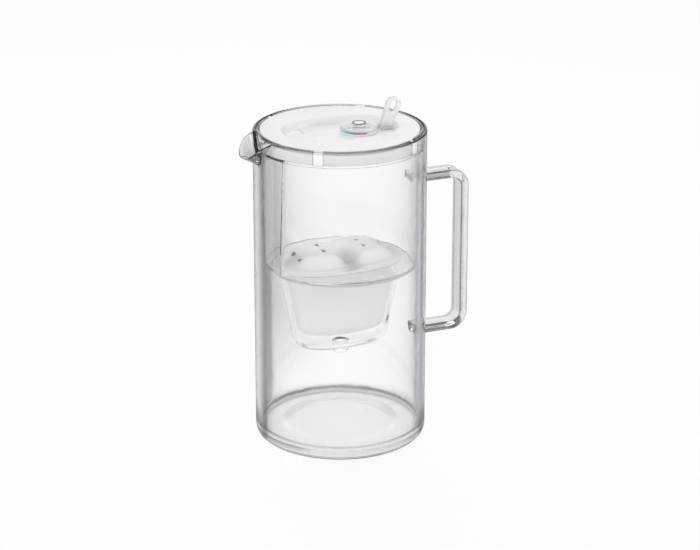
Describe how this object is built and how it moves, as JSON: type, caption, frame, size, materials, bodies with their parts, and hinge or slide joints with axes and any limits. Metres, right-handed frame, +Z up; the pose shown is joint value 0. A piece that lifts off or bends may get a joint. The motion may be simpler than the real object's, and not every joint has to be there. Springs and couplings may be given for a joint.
{
  "type": "water filter pitcher with flip lid",
  "caption": "Clear cylindrical pitcher with bar handle and pouring lip, hanging reservoir, oval filter cartridge and a white lid whose flap carries a timer and pull loop.",
  "frame": {"origin": "centre of the jug's flat base, on the jug's axis, at table level", "axes": "+Z up along the jug's axis, spout towards -X, handle towards +X, the lid's hinge axis along Y"},
  "size_m": [0.1825, 0.13, 0.262],
  "materials": {
    "clear_jug": "clear polished, thick walled, grey at the edges",
    "clear_reservoir": "clear polished, moulded",
    "cartridge_white": "white, satin gloss",
    "screen_mesh": "fine woven mesh",
    "granulate": "bed of resin beads and activated carbon grains",
    "soft_seal": "pale silicone",
    "lid_white": "glossy white",
    "pin_steel": "polished stainless steel",
    "loop_silicone": "translucent white silicone",
    "timer_white": "glossy white",
    "colour_print": "printed scale running from teal to red",
    "lens_clear": "clear polished",
    "bezel_dark": "dark gloss",
    "dome_steel": "stainless spring steel",
    "board_green": "green circuit board",
    "light_lens": "milky light-emitting diodes",
    "contact_brass": "sprung brass",
    "cell_steel": "nickel-plated steel"
  },
  "bodies": {
    "jug": {"jug_body": "clear_jug", "handle": "clear_jug"},
    "reservoir": {"reservoir": "clear_reservoir"},
    "cartridge": {"cartridge_shell": "cartridge_white", "cartridge_cap": "cartridge_white", "cartridge_seal": "soft_seal", "inlet_screen": "screen_mesh", "outlet_screen": "screen_mesh", "filter_granulate": "granulate"},
    "lid": {"lid_shell": "lid_white", "hinge_pin": "pin_steel"},
    "flap": {"flap_panel": "lid_white", "flap_seal": "soft_seal", "pull_loop": "loop_silicone", "timer_housing": "timer_white", "timer_gasket": "soft_seal", "colour_ring": "colour_print", "timer_lens": "lens_clear", "button_bezel": "bezel_dark", "snap_dome": "dome_steel", "timer_board": "board_green", "timer_lights": "light_lens", "battery_contact": "contact_brass", "button_cell": "cell_steel", "battery_cover": "timer_white"},
    "button": {"reset_button": "timer_white"}
  },
  "joints": [
    {"name": "reservoir_lift", "type": "slide", "parent": "jug", "child": "reservoir", "axis": [0, 0, 1], "range_m": [0, 0.19]},
    {"name": "cartridge_lift", "type": "slide", "parent": "reservoir", "child": "cartridge", "axis": [0, 0, 1], "range_m": [0, 0.06]},
    {"name": "lid_lift", "type": "slide", "parent": "reservoir", "child": "lid", "axis": [0, 0, 1], "range_m": [0, 0.06]},
    {"name": "flap_hinge", "type": "hinge", "parent": "lid", "child": "flap", "pos_m": [-0.035, 0, 0.2337], "axis": [0, -1, 0], "range_deg": [0, 95]},
    {"name": "button_press", "type": "slide", "parent": "flap", "child": "button", "axis": [0, 0, -1], "range_m": [0, 0.0006], "stiffness_N_per_m": 600, "springref_m": -0.0003, "deforming": ["snap_dome"]}
  ]
}
